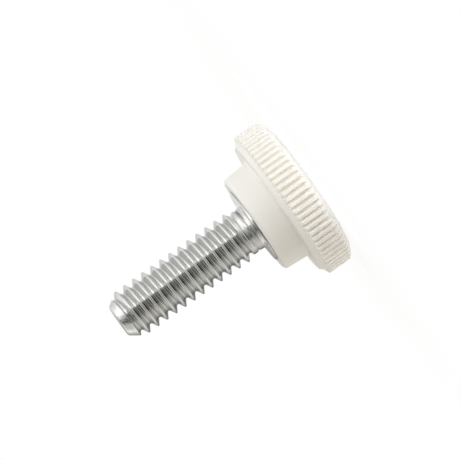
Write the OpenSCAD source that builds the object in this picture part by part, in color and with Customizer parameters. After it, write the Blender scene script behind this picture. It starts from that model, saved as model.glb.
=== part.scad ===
// Thumb screw: a moulded knob with a ribbed rim and a round boss, on a rolled-thread steel stud.
// It stands on the flat top of its knob, with the stud pointing up along +Z.
// The origin is the centre of the knob's top face, and all lengths are in millimetres.

/* [Knob] */
// Diameter of the knob over its ribs
knob_d = 19; // [18:0.1:26]
// Height of the ribbed rim
rim_h = 4.5; // [3:0.1:8]
// Width of the rounded edge round the top face
top_edge_w = 2.35; // [0.5:0.05:3]
// Height of the rounded edge round the top face
top_edge_h = 1; // [0.3:0.05:1.5]
// Width of the chamfer under the rim, up to the floor of the grooves
under_chamfer_w = 0.5; // [0.2:0.05:0.8]
// Height of the chamfer under the rim
under_chamfer_h = 0.52; // [0.2:0.02:0.8]
// Thickness of plastic between the top face and the hidden end of the stud's head
top_wall = 1.73; // [0.8:0.01:2.5]

/* [Ribs] */
// Number of straight ribs round the rim
rib_count = 72; // [48:1:84]
// Width of each groove between two ribs, at its mouth
groove_w = 0.4; // [0.2:0.01:0.5]
// Width of each groove at its floor
groove_floor_w = 0.14; // [0.05:0.01:0.18]
// Depth of each groove
groove_depth = 0.55; // [0.2:0.01:0.7]
// Height of the sloping end of each rib, next to the chamfer under the rim
rib_end_h = 0.25; // [0.1:0.05:0.5]

/* [Boss] */
// Diameter of the boss where it leaves the rim
boss_d = 12.8; // [11.6:0.1:14]
// Height of the boss from the rim to its face
boss_h = 3.3; // [1.5:0.1:8]
// How much narrower the boss is at its face, for draft
boss_draft = 0.45; // [0.1:0.05:0.6]
// Radius of the rounded edge round the boss face
boss_edge_r = 0.45; // [0.2:0.05:0.6]
// Radius of the fillet between the boss and the rim
boss_fillet_r = 0.3; // [0.1:0.05:0.4]

/* [Stud] */
// Length of the stud from the boss face to its tip
stud_l = 19.05; // [10:0.05:40]
// Diameter of the plain neck next to the head
neck_d = 5.54; // [5:0.01:6]
// Length of the plain neck beyond the washer face
neck_l = 1.1; // [0.3:0.05:3]
// Diameter at which the tip's chamfer would meet its flat end
tip_d = 3.9; // [3:0.1:4.4]
// Length of the chamfer at the tip, from the thread's crests to the end
tip_chamfer_l = 1.8; // [0.8:0.1:3]
// Size of the small bevel round the flat end
tip_bevel = 0.15; // [0.05:0.05:0.3]

/* [Thread] */
// Diameter over the thread's crests
thread_d = 6.2; // [5.8:0.01:7]
// Distance from one crest to the next
thread_pitch = 1.27; // [1:0.01:1.4]
// Length over which the thread fades into the neck
runout_l = 0.9; // [0.5:0.1:3]
// Turn of the thread about the axis, in degrees
thread_turn = 105; // [0:5:355]

/* [Head] */
// Diameter of the stud's round head
head_d = 9.4; // [8:0.1:10]
// How far the head's washer face stands out of the boss face
head_proud = 0.28; // [0.1:0.02:0.6]
// Size of the bevel round the hidden end of the head
head_bevel = 0.4; // [0.2:0.05:0.8]

/* [Hidden] */

knob_r = knob_d / 2;
top_edge_r = (top_edge_w * top_edge_w + top_edge_h * top_edge_h) / (2 * top_edge_h);
rib_step = 360 / rib_count;
floor_r = knob_r - groove_depth;

boss_r = boss_d / 2;
boss_face_r = (boss_d - boss_draft) / 2;
boss_face_z = rim_h + boss_h;
boss_lean = atan((boss_r - boss_face_r) / (boss_h - boss_edge_r));

head_r = head_d / 2;
head_z = boss_face_z + head_proud;
neck_r = neck_d / 2;
tip_r = tip_d / 2;
tip_z = boss_face_z + stud_l;

// The thread is a 60 degree form with flat crests and roots, one form a turn, starting inside the head.
flank_angle = 30;
crest_share = 1 / 8;
root_share = 3 / 16;
hidden_turns = 5 / 4;
thread_r = thread_d / 2;
crest_w = thread_pitch * crest_share;
root_w = thread_pitch * root_share;
flank_w = (thread_pitch - crest_w - root_w) / 2;
root_r = thread_r - flank_w / tan(flank_angle);
form_z = [0, crest_w, crest_w + flank_w, crest_w + flank_w + root_w];
form_r = [thread_r, thread_r, root_r, root_r];
thread_z = head_z - thread_pitch * hidden_turns;
turn_steps = 36;
last_step = turn_steps * (ceil((tip_z - thread_z) / thread_pitch) + 1);

// Slope of the tip's chamfer: how much wider it gets for each millimetre back from the end
tip_slope = (thread_r - tip_r) / tip_chamfer_l;

// How far a cutting shape reaches past the faces that it cuts through
cut = 0.5;
$fn = 96;

// Half outline of the rim, with its rounded top edge as an arc
module rim_outline() {
    difference() {
        polygon([
            [0, 0],
            [knob_r, 0],
            [knob_r, rim_h - under_chamfer_h - rib_end_h],
            [floor_r, rim_h - under_chamfer_h],
            [floor_r - under_chamfer_w, rim_h],
            [0, rim_h]
        ]);
        difference() {
            translate([knob_r - top_edge_w, -cut])
                square([top_edge_w + cut, top_edge_h + cut]);
            translate([knob_r - top_edge_w, top_edge_r])
                circle(r = top_edge_r);
        }
    }
}

// Half outline of the boss, with its rounded edge and the fillet at its foot as arcs
module boss_outline() {
    edge = [boss_face_r - boss_edge_r, boss_face_z - boss_edge_r];
    fillet = [boss_r + boss_fillet_r * (1 - sin(boss_lean)) / cos(boss_lean), rim_h + boss_fillet_r];
    fillet_top = fillet - boss_fillet_r * [cos(boss_lean), sin(boss_lean)];
    polygon([
        [0, 0],
        [boss_r, 0],
        [boss_r, rim_h],
        [boss_face_r, edge.y],
        edge,
        [edge.x, boss_face_z],
        [0, boss_face_z]
    ]);
    translate(edge)
        circle(r = boss_edge_r);
    difference() {
        polygon([
            [0, rim_h - cut],
            [fillet.x, rim_h - cut],
            fillet,
            fillet_top,
            [0, fillet_top.y]
        ]);
        translate(fillet)
            circle(r = boss_fillet_r);
    }
}

// One straight groove of the rim, with sloping sides
module groove() {
    translate([0, 0, -cut])
        linear_extrude(rim_h + 2 * cut)
            polygon([
                [floor_r, -groove_floor_w / 2],
                [knob_r, -groove_w / 2],
                [knob_r + cut, -groove_w / 2],
                [knob_r + cut, groove_w / 2],
                [knob_r, groove_w / 2],
                [floor_r, groove_floor_w / 2]
            ]);
}

// Round head of the stud, which the knob is moulded over
module head() {
    rotate_extrude()
        polygon([
            [0, top_wall],
            [head_r - head_bevel, top_wall],
            [head_r, top_wall + head_bevel],
            [head_r, head_z],
            [0, head_z]
        ]);
}

module knob() {
    color("ivory")
        difference() {
            rotate_extrude() {
                rim_outline();
                boss_outline();
            }
            for (rib = [0:rib_count - 1])
                rotate(rib * rib_step)
                    groove();
            head();
        }
}

// Radius of the thread at height z, fading from the full form into the neck
function faded_r(full_r, z) =
    neck_r + (full_r - neck_r) * max(0, min(1, (z - head_z - neck_l) / runout_l));

// Corner 0 to 3 of the thread form after a number of steps along the helix
function form_point(step, corner) =
    let (
        z = thread_z + thread_pitch * step / turn_steps + form_z[corner],
        r = faded_r(form_r[corner], z),
        turn = thread_turn + 360 * step / turn_steps
    )
    [r * cos(turn), r * sin(turn), z];

// Place of a corner in the list of points; corner 4 is corner 0 one turn further on
function at(step, corner) =
    corner < 4 ? 4 * step + corner : 4 * (step + turn_steps);

// The threaded shank as one helical strip, closed by a fan at each end
module helical_shank() {
    low = 4 * (last_step + 1);
    high = low + 1;
    top_turn = last_step - turn_steps;
    points = [
        for (step = [0:last_step], corner = [0:3]) form_point(step, corner),
        [0, 0, thread_z + thread_pitch / 2],
        [0, 0, thread_z + thread_pitch * (last_step / turn_steps + 1 / 2)]
    ];
    strip = [
        for (step = [0:last_step - 1], corner = [0:3])
            if (corner < 3 || step < top_turn)
                each [
                    [at(step, corner), at(step, corner + 1), at(step + 1, corner)],
                    [at(step, corner + 1), at(step + 1, corner + 1), at(step + 1, corner)]
                ]
    ];
    low_end = [
        for (step = [0:turn_steps - 1]) [at(step, 0), at(step + 1, 0), low],
        for (corner = [0:3]) [at(0, corner + 1), at(0, corner), low]
    ];
    high_end = [
        for (step = [top_turn:last_step - 1]) [at(step + 1, 3), at(step, 3), high],
        for (corner = [0:2]) [at(last_step, corner), at(last_step, corner + 1), high],
        [at(top_turn, 3), at(last_step, 0), high]
    ];
    polyhedron(points, concat(strip, low_end, high_end));
}

// Envelope that cuts the shank to its length, with the tip's chamfer and bevel
module tip_envelope() {
    rotate_extrude()
        polygon([
            [0, thread_z - cut],
            [thread_r + cut, thread_z - cut],
            [thread_r + cut, tip_z - (thread_r + cut - tip_r) / tip_slope],
            [tip_r + tip_slope * tip_bevel, tip_z - tip_bevel],
            [tip_r - tip_bevel, tip_z],
            [0, tip_z]
        ]);
}

module threaded_stud() {
    color("silver") {
        intersection() {
            helical_shank();
            tip_envelope();
        }
        head();
    }
}

knob();
threaded_stud();
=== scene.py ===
import math

import bmesh
import bpy
import numpy as np
from mathutils import Matrix, Vector


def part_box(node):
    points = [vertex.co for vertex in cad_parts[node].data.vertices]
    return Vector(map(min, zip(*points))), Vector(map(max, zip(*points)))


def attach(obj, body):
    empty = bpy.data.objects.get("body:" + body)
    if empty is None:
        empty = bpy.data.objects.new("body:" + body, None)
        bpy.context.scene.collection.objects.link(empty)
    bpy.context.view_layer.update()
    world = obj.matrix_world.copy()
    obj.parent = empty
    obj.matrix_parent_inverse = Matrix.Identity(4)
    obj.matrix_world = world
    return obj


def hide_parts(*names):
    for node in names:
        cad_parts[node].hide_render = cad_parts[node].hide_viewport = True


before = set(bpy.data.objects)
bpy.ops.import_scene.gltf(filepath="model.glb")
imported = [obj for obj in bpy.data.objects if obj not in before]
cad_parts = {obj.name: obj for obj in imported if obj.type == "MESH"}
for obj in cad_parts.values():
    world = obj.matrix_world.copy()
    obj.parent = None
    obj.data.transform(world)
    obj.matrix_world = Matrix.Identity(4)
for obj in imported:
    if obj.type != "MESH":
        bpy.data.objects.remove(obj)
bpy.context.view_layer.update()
mm = 0.001  # lengths below are in millimetres, and Blender's are in metres
knobHigh = np.array(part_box("knob")[1]) / mm
studHigh = np.array(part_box("threaded_stud")[1]) / mm
flatStep = 0.04  # distance from a rounded corner to the points that keep its sides flat
print("frame loaded")


def smoothMin(a, b, width):
    # the smaller of a and b, with a parabola in place of the corner where they are closer than width
    near = np.clip(1 - np.abs(a - b) / width, 0, 1)
    return np.minimum(a, b) - near ** 2 * width / 4


def smoothMax(a, b, width):
    # the larger of a and b, rounded in the same way
    return -smoothMin(-a, -b, width)


def smoothStep(x, start, end):
    # 0 before start, 1 after end, and t * t * (3 - 2 t) between them
    t = np.clip((x - start) / (end - start), 0, 1)
    return t * t * (3 - 2 * t)


def roundedProfile(corners):
    # corners are (r, z, radius, steps): each corner becomes an arc that touches both its sides, with a
    # point a little before and after it, so that the shading of the sides stays flat
    points = [np.array(corners[0][:2], float)]
    for before, (r, z, radius, steps), after in zip(corners, corners[1:-1], corners[2:]):
        here = np.array([r, z], float)
        back = np.array(before[:2]) - here
        ahead = np.array(after[:2]) - here
        back, ahead = back / np.linalg.norm(back), ahead / np.linalg.norm(ahead)
        half = math.acos(np.clip(back @ ahead, -1, 1)) / 2
        reach = radius / math.tan(half)
        middle = here + (back + ahead) / np.linalg.norm(back + ahead) * radius / math.sin(half)
        first, last = here + back * reach - middle, here + ahead * reach - middle
        sweep = np.arctan2(first[0] * last[1] - first[1] * last[0], first @ last)
        turn = np.linspace(0, sweep, steps + 1)[:, None]
        across = np.array([-first[1], first[0]])
        arc = middle + np.cos(turn) * first + np.sin(turn) * across
        points += [here + back * (reach + flatStep), *arc, here + ahead * (reach + flatStep)]
    points.append(np.array(corners[-1][:2], float))
    return np.array(points)


def ringPoints(radius, angle, height):
    # x = r cos(a), y = r sin(a), z = h, with one row for each height and one column for each angle
    radius, angle, height = np.broadcast_arrays(radius, angle, height)
    return np.stack([radius * np.cos(angle), radius * np.sin(angle), height], axis=-1)


def ringFaces(rows, columns, rowsPerTurn=0):
    # quad (i, j) joins points (i, j) and (i + 1, j + 1); behind the last column comes the first one,
    # rowsPerTurn rows further on where the rows climb like a thread
    i, j = np.meshgrid(np.arange(rows - 1), np.arange(columns), indexing="ij")
    nextColumn = (j + 1) % columns
    climb = rowsPerTurn * (nextColumn == 0)
    low = np.minimum(i + climb, rows - 1)
    high = np.minimum(i + 1 + climb, rows - 1)
    here, above = i * columns + j, (i + 1) * columns + j
    beside, across = low * columns + nextColumn, high * columns + nextColumn
    return np.stack([here, beside, across, above], axis=-1).reshape(-1, 4)


mergeDistance = 1e-4  # points closer than this are one


def makePiece(name, parts, attributes, sharpAngle):
    # parts are (points, faces) grids; points that meet at a pole or a seam become one
    points, faces, start = [], [], 0
    for grid, quads in parts:
        points.append(grid.reshape(-1, 3))
        faces.append(quads + start)
        start += len(points[-1])
    mesh = bpy.data.meshes.new(name)
    mesh.from_pydata(np.concatenate(points) * mm, [], np.concatenate(faces).tolist())
    for label, values in attributes.items():
        layer = mesh.attributes.new(label, "FLOAT", "POINT")
        layer.data.foreach_set("value", values.astype(np.float32))
    work = bmesh.new()
    work.from_mesh(mesh)
    bmesh.ops.remove_doubles(work, verts=work.verts, dist=mergeDistance * mm)
    bmesh.ops.dissolve_degenerate(work, edges=work.edges, dist=mergeDistance * mm)
    bmesh.ops.recalc_face_normals(work, faces=work.faces)
    openEdges = sum(not edge.is_manifold for edge in work.edges)
    work.to_mesh(mesh)
    work.free()
    mesh.shade_smooth()
    mesh.set_sharp_from_angle(angle=math.radians(sharpAngle))
    piece = bpy.data.objects.new(name, mesh)
    bpy.context.collection.objects.link(piece)
    mesh.calc_loop_triangles()
    print(name, "has", len(mesh.loop_triangles), "triangles and", openEdges, "open edges")
    return piece


knobShape = {
    "ribCount": 72,
    "topFlatRadius": 7.15,    # the flat top face, round which the edge curves down
    "topFlatMargin": 0.1,     # a ring of points this far inside the flat's edge
    "topEdgeHeight": 1.0,
    "topEdgeSteps": 22,
    "sideRows": (0.03, 0.1, 0.4),   # rings of points on the rim, by height over the rounded edge
    "sideMiddle": 1.9,
    "grooveFloorRadius": 8.95,
    "grooveFloorWidth": 0.14,
    "grooveWidth": 0.40,
    "floorColumns": (0.7, 1.2),           # lines of points along a groove: shares of half its floor,
    "wallColumns": (0.05, 0.09),          # distances past the floor's edge,
    "mouthColumns": (-0.015, 0.02, 0.07),     # and distances past the mouth's
    "ribEndHeight": 0.18,     # sloping ends of the ribs
    "ribEndEdge": 0.12,
    "ribFootEdge": 0.05,
    "chamferWidth": 0.50,
    "chamferHeight": 0.50,
    "chamferEdge": 0.10,
    "rimHeight": 4.5,
    "bossFootRadius": 6.4,
    "bossFaceRadius": 6.175,
    "bossEdge": 0.45,
    "bossFillet": 0.3,
    "holeRadius": 4.71,       # a hair wider than the stud's head
    "holeEdge": 0.07,
    "pocketFloor": 1.73,      # height of the hidden pocket's floor
    "pocketBevel": 0.4,
    "pocketEdge": 0.02,
    "ribRounding": 0.07,
    "sharpAngle": 75,
}


def knobProfile(s, rimRadius, faceHeight):
    # (r, z) points from the middle of the top face, round the rim and the boss, into the pocket
    edgeWidth = rimRadius - s["topFlatRadius"]
    edgeRadius = (edgeWidth ** 2 + s["topEdgeHeight"] ** 2) / (2 * s["topEdgeHeight"])
    sweep = math.asin(edgeWidth / edgeRadius)
    turn = np.linspace(0, sweep, s["topEdgeSteps"])
    curveRadius = s["topFlatRadius"] + edgeRadius * np.sin(turn)
    curve = np.stack([curveRadius, edgeRadius * (1 - np.cos(turn))], axis=-1)
    chamferStart = s["rimHeight"] - s["chamferHeight"]
    ribFoot = s["grooveFloorRadius"]
    ribTop = chamferStart - s["ribEndHeight"]
    underRadius = ribFoot - s["chamferWidth"]
    corners = [
        (rimRadius, s["sideMiddle"], 0, 0),
        (rimRadius, ribTop, s["ribEndEdge"], 4),
        (ribFoot, chamferStart, s["ribFootEdge"], 2),
        (underRadius, s["rimHeight"], s["chamferEdge"], 3),
        (s["bossFootRadius"], s["rimHeight"], s["bossFillet"], 6),
        (s["bossFaceRadius"], faceHeight, s["bossEdge"], 8),
        (s["holeRadius"], faceHeight, s["holeEdge"], 3),
        (s["holeRadius"], s["pocketFloor"] + s["pocketBevel"], s["pocketEdge"], 1),
        (s["holeRadius"] - s["pocketBevel"], s["pocketFloor"], s["pocketEdge"], 1),
        (0, s["pocketFloor"], 0, 0),
    ]
    lower = roundedProfile(corners)
    start = [[0, 0], [s["topFlatRadius"] - s["topFlatMargin"], 0]]
    side = [[rimRadius, s["topEdgeHeight"] + step] for step in s["sideRows"]]
    return np.concatenate([start, curve, side, lower])


def ribColumns(s, rimRadius):
    # the angle of each column, close together at the groove's corners and walls, and its distance
    # from the middle of the nearest groove
    halfRib = math.pi * rimRadius / s["ribCount"]
    floor, mouth = s["grooveFloorWidth"] / 2, s["grooveWidth"] / 2
    steps = [floor * share for share in s["floorColumns"]]
    steps += [floor + step for step in s["wallColumns"]] + [mouth + step for step in s["mouthColumns"]]
    across = np.array([-step for step in reversed(steps)] + [0] + steps + [halfRib])
    middles = 2 * np.pi * np.arange(s["ribCount"]) / s["ribCount"]
    angle = (middles[:, None] + across[None, :] / rimRadius).ravel()
    return angle, np.tile(np.abs(across), s["ribCount"])


def makeKnob(s):
    # radius = the smaller of the profile's and the groove outline's, where the groove outline rises
    # in a straight line from the groove's floor to its mouth; inside the floor's radius there are no grooves
    rimRadius, faceHeight = knobHigh[0], knobHigh[2]
    profile = knobProfile(s, rimRadius, faceHeight)
    angle, across = ribColumns(s, rimRadius)
    depth = rimRadius - s["grooveFloorRadius"]
    wallSlope = depth / (s["grooveWidth"] - s["grooveFloorWidth"]) * 2
    outline = s["grooveFloorRadius"] + (across - s["grooveFloorWidth"] / 2) * wallSlope
    outline = smoothMax(outline, s["grooveFloorRadius"] + 0 * outline, s["ribRounding"])
    grooved = smoothMin(profile[:, :1], outline[None, :], s["ribRounding"])
    plain = profile[:, :1] < s["grooveFloorRadius"] - s["ribRounding"]
    radius = np.where(plain, profile[:, :1], grooved)
    points = ringPoints(radius, angle, profile[:, 1:])
    inGroove = np.clip((profile[:, :1] - radius) / depth, 0, 1)
    faces = ringFaces(*radius.shape)
    knob = makePiece("ribbed_knob", [(points, faces)], {"inGroove": inGroove.ravel()}, s["sharpAngle"])
    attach(knob, "root")
    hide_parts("knob")
    return knob


studShape = {
    "columns": 128,
    "pitch": 1.27,
    "threadTurn": 105,        # degrees
    "threadRadius": 3.1,
    "hiddenTurns": 1.25,      # the thread starts this many pitches below the head's face
    "flankSlope": math.sqrt(3),   # of a 60 degree thread
    "crestWidth": 0.159,
    "rootRadius": 2.344,
    "crestRounding": 0.09,
    "rootRounding": 0.09,
    # rows of points, in turns: from the crest's edge, from its middle on the flank, from the root's edge
    "crestRows": (-0.02, -0.008, 0, 0.01, 0.024),
    "flankRows": (0.15, 0.21, 0.27, 0.33),
    "rootRows": (-0.036, -0.018, 0, 0.02, 0.04),
    "spareTurns": (2, 3),     # more turns of rows below and above, which end on the level rings
    "neckRadius": 2.77,
    "neckFillet": 0.3,
    "crestRunout": (1.4, 2.0),    # heights over the head between which the crests grow from the neck
    "rootRunout": (0.45, 1.9),    # and the grooves deepen
    "scarTurn": 0.63,             # a shallow last groove beside the head: turns from the thread's groove,
    "scarDepth": 0.2,             # its depth and width,
    "scarWidth": 0.3,
    "scarStart": (0.34, 0.5),     # and the heights over the head where it comes and goes
    "scarEnd": (1.1, 0.8),
    "crestShine": (0.25, 0.08),   # depths below the crest between which the metal turns to the painted sheen
    "coneShine": 0.05,            # it does so on the cone too, within this of its edge,
    "neckShine": (2, 1.2),        # and below these heights over the head
    "coneLength": 1.63,
    "coneEndRadius": 1.97,
    "coneFrom": 0.35,         # height of the plain cone below the end
    "endRounding": 0.4,
    "headRadius": 4.7,
    "headBottom": 1.73,
    "headBevel": 0.4,
    "headProud": 0.28,
    "headBottomEdge": 0.02,
    "headEdge": 0.05,
    "headCrown": 0.08,        # the head's face falls away to its edge
    "sharpAngle": 40,
}


def threadStart(s, headTop):
    # height of the middle of the first crest, at the angle threadTurn
    return headTop - s["hiddenTurns"] * s["pitch"] + s["crestWidth"] / 2


def coneSlope(s):
    # how much wider the tip gets for each millimetre back from its end
    return (s["threadRadius"] - s["coneEndRadius"]) / s["coneLength"]


def threadRadius(s, angle, height, headTop, tip):
    # a 60 degree form whose crest climbs one pitch a turn, faded into the neck and cut by the tip's cone
    start = threadStart(s, headTop)
    turns = (height - start) / s["pitch"] - (angle - math.radians(s["threadTurn"])) / (2 * np.pi)
    fromCrest = np.abs((turns + 0.5) % 1 - 0.5) * s["pitch"]
    flank = s["threadRadius"] - (fromCrest - s["crestWidth"] / 2) * s["flankSlope"]
    form = smoothMin(flank, s["threadRadius"] + 0 * flank, s["crestRounding"])
    form = smoothMax(form, s["rootRadius"] + 0 * flank, s["rootRounding"])
    above = height - headTop
    crest, root = (smoothStep(above, *s[name]) for name in ("crestRunout", "rootRunout"))
    rise = form - s["neckRadius"]
    faded = s["neckRadius"] + np.maximum(rise, 0) * crest + np.minimum(rise, 0) * root
    fromScar = ((turns + s["scarTurn"]) % 1 - 0.5) * s["pitch"]
    scar = np.exp(-(fromScar / s["scarWidth"]) ** 2)
    scar = scar * smoothStep(above, *s["scarStart"]) * smoothStep(above, *s["scarEnd"])
    faded = faded - s["scarDepth"] * scar
    cone = s["coneEndRadius"] + (tip - height) * coneSlope(s)
    # where the painted sheen goes: the crests, near the cone's edge and the neck
    onCrest = smoothStep(form, *(s["threadRadius"] - depth for depth in s["crestShine"]))
    onCone = smoothStep(faded - cone, -s["coneShine"], s["coneShine"])
    shine = np.maximum(np.maximum(onCrest, onCone), smoothStep(above, *s["neckShine"]))
    return smoothMin(faded, cone, s["crestRounding"]), scar, shine


def makeStud(s):
    # a thread of rows that climb with the helix between two level rings, with turned ends below and above
    headTop, tip = knobHigh[2] + s["headProud"], studHigh[2]
    angle = 2 * np.pi * np.arange(s["columns"]) / s["columns"]
    low, high = headTop + s["neckFillet"] + flatStep, tip - s["coneFrom"]
    crest = s["crestWidth"] / 2 / s["pitch"]
    root = crest + (s["threadRadius"] - s["rootRadius"]) / s["flankSlope"] / s["pitch"]
    crestRows, rootRows = crest + np.array(s["crestRows"]), root + np.array(s["rootRows"])
    half = np.concatenate([[0], crestRows, s["flankRows"], rootRows])
    onePitch = np.concatenate([half, [0.5], 1 - half[:0:-1]])
    firstTurn = math.floor((low - headTop) / s["pitch"]) - s["spareTurns"][0]
    lastTurn = math.ceil((high - headTop) / s["pitch"]) + s["spareTurns"][1]
    turns = (np.arange(firstTurn, lastTurn)[:, None] + onePitch[None, :]).ravel()
    start = threadStart(s, headTop)
    climb = (angle - math.radians(s["threadTurn"])) / (2 * np.pi)
    height = np.clip(start + (turns[:, None] + climb[None, :] + 1) * s["pitch"], low, high)
    radius, scar, shine = threadRadius(s, angle[None, :], height, headTop, tip)
    thread = ringPoints(radius, angle, height)
    head = roundedProfile([
        (0, s["headBottom"], 0, 0),
        (s["headRadius"] - s["headBevel"], s["headBottom"], s["headBottomEdge"], 1),
        (s["headRadius"], s["headBottom"] + s["headBevel"], s["headBottomEdge"], 1),
        (s["headRadius"], headTop - s["headCrown"], s["headEdge"], 3),
        (s["neckRadius"], headTop, s["neckFillet"], 6),
        (s["neckRadius"], low, 0, 0),
    ])
    end = roundedProfile([
        (s["coneEndRadius"] + s["coneFrom"] * coneSlope(s), high, 0, 0),
        (s["coneEndRadius"], tip, s["endRounding"], 4),
        (0, tip, 0, 0),
    ])
    parts = [(thread, ringFaces(*height.shape, rowsPerTurn=len(onePitch)))]
    inScar, shining = [scar.ravel()], [shine.ravel()]
    for profile in (head, end):
        grid = ringPoints(profile[:, :1], angle, profile[:, 1:])
        parts.append((grid, ringFaces(len(profile), s["columns"])))
        inScar.append(np.zeros(len(profile) * s["columns"]))
        shining.append(np.ones(len(profile) * s["columns"]))
    attributes = {"inScar": np.concatenate(inScar), "shine": np.concatenate(shining)}
    stud = makePiece("steel_stud", parts, attributes, s["sharpAngle"])
    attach(stud, "root")
    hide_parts("threaded_stud")
    return stud


knob = makeKnob(knobShape)
stud = makeStud(studShape)
print("pieces made")


class Value:
    # a node's output socket; sums and products of values become Math nodes
    def __init__(self, graph, socket):
        self.graph, self.socket = graph, socket

    def math(self, operation, *values):
        return self.graph.node("ShaderNodeMath", {"operation": operation}, dict(enumerate(values)))

    def __add__(self, other):
        return self.math("ADD", self, other)

    def __sub__(self, other):
        return self.math("SUBTRACT", self, other)

    def __rsub__(self, other):
        return self.math("SUBTRACT", other, self)

    def __mul__(self, other):
        return self.math("MULTIPLY", self, other)

    def __truediv__(self, other):
        return self.math("DIVIDE", self, other)

    __radd__, __rmul__ = __add__, __mul__


class Graph:
    # the node tree of a material or of the world
    def __init__(self, owner):
        owner.use_nodes = True
        self.tree = owner.node_tree
        self.tree.nodes.clear()

    def node(self, kind, settings={}, sockets={}, output=0):
        # a node of one kind with its settings, and then its sockets' values or links
        made = self.tree.nodes.new(kind)
        for name, setting in settings.items():
            if name == "stops":  # of a colour ramp: (position, colour) pairs
                elements = made.color_ramp.elements
                while len(elements) < len(setting):
                    elements.new(1)
                for element, (position, colour) in zip(elements, setting):
                    element.position = position
                    element.color = (*colour, 1)
            else:
                setattr(made, name, setting)
        for name, value in sockets.items():
            if isinstance(value, Value):
                self.tree.links.new(value.socket, made.inputs[name])
            else:
                made.inputs[name].default_value = value
        return Value(self, made.outputs[output]) if made.outputs else None

    def mix(self, factor, first, second):
        # the first colour where factor is 0, the second where it is 1
        return self.node("ShaderNodeMix", {"data_type": "RGBA"}, {0: factor, 6: first, 7: second}, output=2)

    def ramp(self, value, start, end):
        # 0 where the value is start and 1 where it is end, in a straight line between them
        return self.node("ShaderNodeMapRange", {}, {"Value": value, "From Min": start, "From Max": end})

    def noise(self, place, scale, detail):
        return self.node("ShaderNodeTexNoise", {}, {"Vector": place, "Scale": scale, "Detail": detail})


def newMaterial(name, piece):
    # the piece's only material, empty
    material = bpy.data.materials.new(name)
    piece.data.materials.clear()
    piece.data.materials.append(material)
    return Graph(material)


plasticFinish = {
    "colour": (0.905, 0.893, 0.86, 1),
    "grooveShadeColour": (0.965, 0.905, 0.81, 1),  # painted warm shade in the grooves, growing with their depth
    "grooveShadeCover": 0.75,      # how much painted shade there is, and what the clouds add
    "grooveShadeClouds": 0.5,
    "roughness": 0.42,
    "cloudRoughness": 0.12,
    "grooveRoughness": 0.15,
    "cloudScale": 180,
    "grainScale": 5200,
    "bump": 0.12,
    "bumpHeight": 0.02,
    "refraction": 1.48,
    "glowThrough": 0.35,      # share of the light that spreads under the surface
    "glowDepth": (1.3, 1.3, 1.3),   # and how far, in mm
}


def finishPlastic(piece, f):
    # ivory that turns to a painted warm shade with the depth in the grooves, with soft clouds of roughness
    # over it and a fine grain in relief
    g = newMaterial("moulded_ivory_plastic", piece)
    place = g.node("ShaderNodeTexCoord", output=3)
    inGroove = g.node("ShaderNodeAttribute", {"attribute_name": "inGroove"}, output=2)
    cloud = g.noise(place, f["cloudScale"], 3)
    grain = g.noise(place, f["grainScale"], 2)
    # painted shade: the grooves' warm tone, deeper with their depth and varied by the clouds
    grooveShade = inGroove * (f["grooveShadeCover"] + cloud * f["grooveShadeClouds"])
    colour = g.mix(grooveShade, f["colour"], f["grooveShadeColour"])
    roughness = f["roughness"] + (cloud - 0.5) * f["cloudRoughness"] + inGroove * f["grooveRoughness"]
    relief = {"Strength": f["bump"], "Distance": f["bumpHeight"] * mm, "Height": grain}
    bump = g.node("ShaderNodeBump", {}, relief)
    shader = g.node("ShaderNodeBsdfPrincipled", {}, {
        "Base Color": colour, "Roughness": roughness, "Normal": bump, "IOR": f["refraction"],
        "Subsurface Weight": f["glowThrough"], "Subsurface Radius": f["glowDepth"], "Subsurface Scale": mm,
    })
    g.node("ShaderNodeOutputMaterial", {}, {"Surface": shader})


steelFinish = {
    "colour": (0.665, 0.667, 0.65, 1),      # of the thread's flanks and grooves
    "shineColour": (0.80, 0.80, 0.785, 1),  # painted sheen on its crests, the neck and both ends
    "wornColour": (0.50, 0.495, 0.475, 1),
    # the scar groove's darker colour, also used for the painted shade round the head's foot
    "scarAndShadeColour": (0.3, 0.28, 0.235, 1),
    "worn": 0.3,
    "cloudScale": 420,
    "ringScale": 9000,        # turning marks round the axis
    "fineScale": 6000,
    "fineHeight": 0.5,        # height of the fine grain, where the turning marks and plain dents have 1
    "dentScale": 1900,
    "dents": 4,               # what the bright parts add to the dents' height,
    "endDents": 40,           # what the tip adds,
    "sawnDents": 0.7,         # and the share of that which its flat face lacks
    "roughness": 0.075,
    "cloudRoughness": 0.06,
    "scarRoughness": 0.22,
    "endRoughness": 0.05,     # what the tip adds
    "endLength": 1.6,
    "endFade": 0.3,
    "sawnRoughness": 0.3,     # and its flat face
    "sawnStart": 0.06,        # distances below the end between which that face begins
    "sawnFull": 0.01,
    "footShade": 0.6,         # painted shade: a darker line round the head, where it leaves the plastic
    "footHeight": 0.12,
    "footFade": 0.06,
    "bump": 0.2,
    "bumpHeight": 0.005,
}


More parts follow.
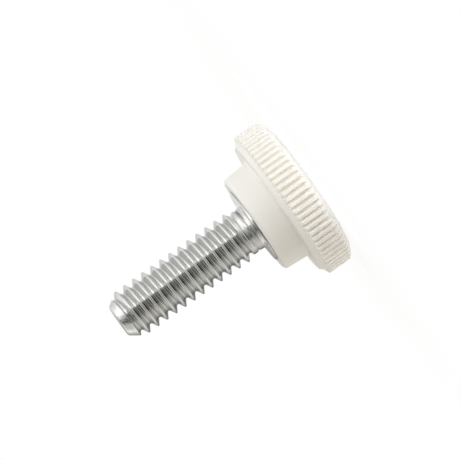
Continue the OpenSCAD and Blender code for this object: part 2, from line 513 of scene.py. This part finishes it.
def finishSteel(piece, f):
    # plating with a painted sheen on what stands out and darker in the grooves, worn in clouds, darker in the
    # scar groove and with painted shade round the head's foot, with turning marks, a fine grain and dents in
    # relief
    g = newMaterial("zinc_plated_steel", piece)
    place = g.node("ShaderNodeTexCoord", output=3)
    cloud = g.noise(place, f["cloudScale"], 3)
    fine = g.noise(place, f["fineScale"], 2)
    inScar = g.node("ShaderNodeAttribute", {"attribute_name": "inScar"}, output=2)
    shine = g.node("ShaderNodeAttribute", {"attribute_name": "shine"}, output=2)
    z = g.node("ShaderNodeSeparateXYZ", {}, {0: place}, output=2)
    end, foot = studHigh[2] - f["endLength"], knobHigh[2] + f["footHeight"]
    atEnd = g.ramp(z, end * mm, (end + f["endFade"]) * mm)
    atFoot = g.ramp(z, foot * mm, (foot - f["footFade"]) * mm)
    sawn = g.ramp(z, (studHigh[2] - f["sawnStart"]) * mm, (studHigh[2] - f["sawnFull"]) * mm)
    # darker in the scar groove, and painted shade in a line round the head where it leaves the plastic
    scarAndShade = inScar + atFoot * f["footShade"]
    roughness = f["roughness"] + (cloud - 0.5) * f["cloudRoughness"] + inScar * f["scarRoughness"]
    roughness = roughness + atEnd * f["endRoughness"] + sawn * f["sawnRoughness"]
    # painted sheen on the crests, neck and ends, less on the sawn face, then worn in clouds
    colour = g.mix(cloud * f["worn"], g.mix(shine - sawn, f["colour"], f["shineColour"]), f["wornColour"])
    colour = g.mix(scarAndShade, colour, f["scarAndShadeColour"])
    flat = g.node("ShaderNodeVectorMath", {"operation": "MULTIPLY"}, {0: place, 1: (1, 1, 0)})
    fromAxis = g.node("ShaderNodeVectorMath", {"operation": "LENGTH"}, {0: flat}, output=1)
    marks = {"W": fromAxis, "Scale": f["ringScale"], "Detail": 2}
    rings = g.node("ShaderNodeTexNoise", {"noise_dimensions": "1D"}, marks)
    dents = g.noise(place, f["dentScale"], 3)
    dented = shine * f["dents"] + (atEnd - sawn * f["sawnDents"]) * f["endDents"] + 1
    height = rings + fine * f["fineHeight"] + dents * dented
    relief = {"Strength": f["bump"], "Distance": f["bumpHeight"] * mm, "Height": height}
    bump = g.node("ShaderNodeBump", {}, relief)
    shader = g.node("ShaderNodeBsdfPrincipled", {}, {
        "Base Color": colour, "Metallic": 1.0, "Roughness": roughness, "Normal": bump,
    })
    g.node("ShaderNodeOutputMaterial", {}, {"Surface": shader})


finishPlastic(knob, plasticFinish)
finishSteel(stud, steelFinish)
print("materials made")


studio = {
    "floorRadius": 34,
    "floorSides": 96,
    "floorFade": 22,          # width of its soft edge
    "floorColour": (0.95, 0.95, 0.95, 1),
    "floorThrough": 0.4,      # share of the light that passes through the floor, as on a light table
    "floorGlow": 0.85,        # share of the floor that looks plain white, whatever light falls on it
    # brightness of what the metal mirrors, by direction, in degrees round the object: 0 is the camera's
    # side, -90 the knob's lit side; at the object's own height, then below and above it
    "around": [(-180, 1.1), (-150, 0.85), (-115, 0.75), (-75, 1.0), (-60, 1.22), (-45, 1.36), (-36, 1.75),
               (-29, 2.25), (-22, 2.1), (-18, 1.6), (-12, 0.2), (0, 0.07), (34, 0.07), (48, 0.18), (60, 0.39),
               (75, 0.6), (100, 0.75), (125, 0.52), (145, 0.24), (178.3, 0.2), (179, 1.1)],
    "below": [(-180, 0.8), (-60, 1.0), (-30, 1.0), (-8, 0.55), (10, 0.45), (30, 0.6), (50, 0.85), (70, 1.0),
              (100, 0.9), (125, 0.6), (145, 0.3), (178.3, 0.22), (179, 0.8)],
    "high": [(-180, 0.8), (-150, 1.1), (-128, 0.9), (-98, 1.1), (-72, 1.6), (-50, 1.4), (-36, 1.2),
             (-18, 0.8), (0, 0.52), (20, 0.24), (34, 0.12), (46, 0.12), (58, 0.42), (72, 0.6), (98, 0.64),
             (128, 1.3), (150, 0.6), (180, 0.4)],
    "roof": (0.4, 0.4, 0.4, 1),
    "under": (1.0, 1.0, 1.0, 1),
    "haze": 0.6,              # share of this grey over the surroundings a little above level
    "hazeColour": (0.6, 0.6, 0.6, 1),
    "shadeTint": (1, 0.99, 0.95),   # of the surroundings on the knob's shaded side,
    "shadedSide": (5, 170),         # between these directions
    # upward parts of a direction between which one thing blends into the next
    "belowBlend": (-0.12, -0.22),
    "underBlend": (-0.6, -0.85),
    "hazeBlend": (0.11, 0.24),
    "highBlend": (0.35, 0.62),
    "roofBlend": (0.945, 0.98),
    "softLight": (0.425, 0.395, 0.34, 1),   # the even light that all but mirrored rays get from all round
    # lamps: place, aim, width and height, power in watts, colour
    "key": ((190, -250, 40), (0, 0, 6), (260, 200), 0.41, (0.97, 1, 1.04)),
    "above": ((150, 60, 260), (0, 0, 6), (260, 200), 0.37, (0.97, 1, 1.04)),
    "fill": ((-260, 180, 60), (0, 0, 6), (240, 200), 0.48, (1, 0.97, 0.94)),
    "table": ((0, 0, -60), (0, 0, 0), (130, 130), 0.065, (1, 1, 1)),   # shines up through the floor
    # and so do small ones close under it round the front of the knob: the side each lies on, its power
    "glows": [(-60, 0.00015), (-25, 0.00026), (10, 0.00032)],
    "glowReach": 13.5,
    "glowBelow": 2.5,
    "glowSize": (6.5, 6.5),
    "glowColour": (0.88, 0.95, 1),
}


def makeFloor(s):
    # triangles from the middle to points all round, clear at the rim; part of the light goes through it,
    # and where it is looked at or mirrored most of it is plain white
    sides = s["floorSides"]
    angle = 2 * np.pi * np.arange(sides) / sides
    points = np.concatenate([np.zeros((1, 3)), ringPoints(s["floorRadius"], angle, 0)])
    mesh = bpy.data.meshes.new("floor")
    mesh.from_pydata(points * mm, [], [[0, 1 + k, 1 + (k + 1) % sides] for k in range(sides)])
    floor = bpy.data.objects.new("floor", mesh)
    bpy.context.collection.objects.link(floor)
    g = newMaterial("pale_floor", floor)
    floor.data.materials[0].cycles.emission_sampling = "NONE"  # its glow is looked at, and lights nothing
    seen, mirrored = (g.node("ShaderNodeLightPath", output=k) for k in (0, 3))
    onTop = g.node("ShaderNodeBsdfDiffuse", {}, {"Color": s["floorColour"]})
    through = g.node("ShaderNodeBsdfTranslucent", {}, {"Color": s["floorColour"]})
    sheet = g.node("ShaderNodeMixShader", {}, {0: s["floorThrough"], 1: onTop, 2: through})
    glow = g.node("ShaderNodeEmission", {}, {"Color": (1, 1, 1, 1), "Strength": 1})
    lit = g.node("ShaderNodeMixShader", {}, {0: (seen + mirrored) * s["floorGlow"], 1: sheet, 2: glow})
    place = g.node("ShaderNodeTexCoord", output=3)
    fromMiddle = g.node("ShaderNodeVectorMath", {"operation": "LENGTH"}, {0: place}, output=1)
    fade = g.ramp(fromMiddle, (s["floorRadius"] - s["floorFade"]) * mm, s["floorRadius"] * mm)
    clear = g.node("ShaderNodeBsdfTransparent")
    shader = g.node("ShaderNodeMixShader", {}, {0: fade, 1: lit, 2: clear})
    g.node("ShaderNodeOutputMaterial", {}, {"Surface": shader})


def makeWorld(s):
    # white to the camera; to mirrored rays a tent, which is a ring of brightness for each height, blended
    # from one to the next, with a darker side where the camera stands; to all other rays one even light
    world = bpy.data.worlds.new("studio")
    bpy.context.scene.world = world
    g = Graph(world)
    direction = g.node("ShaderNodeTexCoord", output=0)
    x, y, z = (g.node("ShaderNodeSeparateXYZ", {}, {0: direction}, output=k) for k in range(3))
    around = (0 - x).math("ARCTAN2", 0 - x, 0 - y) / (2 * math.pi) + 0.5

    def ring(levels):
        # a colour ramp over the direction, from -180 to 180 degrees
        stops = []
        for angle, level in levels:
            tint = s["shadeTint"] if s["shadedSide"][0] < angle < s["shadedSide"][1] else (1, 1, 1)
            stops.append(((angle + 180) / 360, tuple(level * part for part in tint)))
        return g.node("ShaderNodeValToRGB", {"stops": stops}, {0: around})

    low, high, deep, top, above = (
        g.ramp(z, *s[name]) for name in ("belowBlend", "highBlend", "underBlend", "roofBlend", "hazeBlend"))
    lower = g.mix(deep, ring(s["below"]), s["under"])
    level = g.mix(above * s["haze"], ring(s["around"]), s["hazeColour"])
    tent = g.mix(high, g.mix(low, level, lower), g.mix(top, ring(s["high"]), s["roof"]))
    seen, mirrored = (g.node("ShaderNodeLightPath", output=k) for k in (0, 3))
    background = g.mix(seen, g.mix(mirrored, s["softLight"], tent), (1, 1, 1, 1))
    shader = g.node("ShaderNodeBackground", {}, {"Color": background, "Strength": 1})
    g.node("ShaderNodeOutputWorld", {}, {"Surface": shader})


def addLamp(name, place, target, size, power, colour):
    # a rectangle at one place that shines on another; no lamp is mirrored, so the metal shows only the
    # tent, the floor and the knob
    lamp = bpy.data.lights.new(name, "AREA")
    lamp.shape, lamp.size, lamp.size_y = "RECTANGLE", size[0] * mm, size[1] * mm
    lamp.energy, lamp.color = power, colour
    holder = bpy.data.objects.new(name, lamp)
    bpy.context.collection.objects.link(holder)
    holder.location = Vector(place) * mm
    holder.rotation_euler = (Vector(target) - Vector(place)).to_track_quat("-Z", "Y").to_euler()
    holder.visible_glossy = holder.visible_camera = False


def makeLamps(s):
    # the large lamps, and small ones on a circle round the knob under the floor, each shining straight up
    for name in ("key", "above", "fill", "table"):
        addLamp(name, *s[name])
    for side, power in s["glows"]:
        out = Vector((-math.sin(math.radians(side)), -math.cos(math.radians(side)), 0)) * s["glowReach"]
        addLamp("glow", out - Vector((0, 0, s["glowBelow"])), out, s["glowSize"], power, s["glowColour"])


cameraView = {
    "distance": 620,
    "azimuth": 1.4,           # degrees, as seen from above
    "elevation": 3.5,
    "roll": 125.35,           # the knob points up to the right
    "width": 52.75,           # width of what the camera sees at the stud
    "aim": (1.16, 0, 10.35),
}


def makeCamera(s):
    # stands back from the aim along the azimuth and the elevation, and is then rolled on its own axis
    camera = bpy.data.cameras.new("camera")
    camera.lens = camera.sensor_width * s["distance"] / s["width"]
    holder = bpy.data.objects.new("camera", camera)
    bpy.context.collection.objects.link(holder)
    azimuth, elevation, roll = (math.radians(s[name]) for name in ("azimuth", "elevation", "roll"))
    level = math.cos(elevation)
    back = Vector((math.sin(azimuth) * level, -math.cos(azimuth) * level, math.sin(elevation)))
    upright = back.to_track_quat("Z", "Y").to_matrix().to_4x4()
    place = Matrix.Translation((Vector(s["aim"]) + back * s["distance"]) * mm)
    holder.matrix_world = place @ (upright @ Matrix.Rotation(-roll, 4, "Z"))
    bpy.context.scene.camera = holder


makeFloor(studio)
makeWorld(studio)
makeLamps(studio)
makeCamera(cameraView)
scene = bpy.context.scene
scene.view_settings.view_transform = "Standard"
print("studio made")
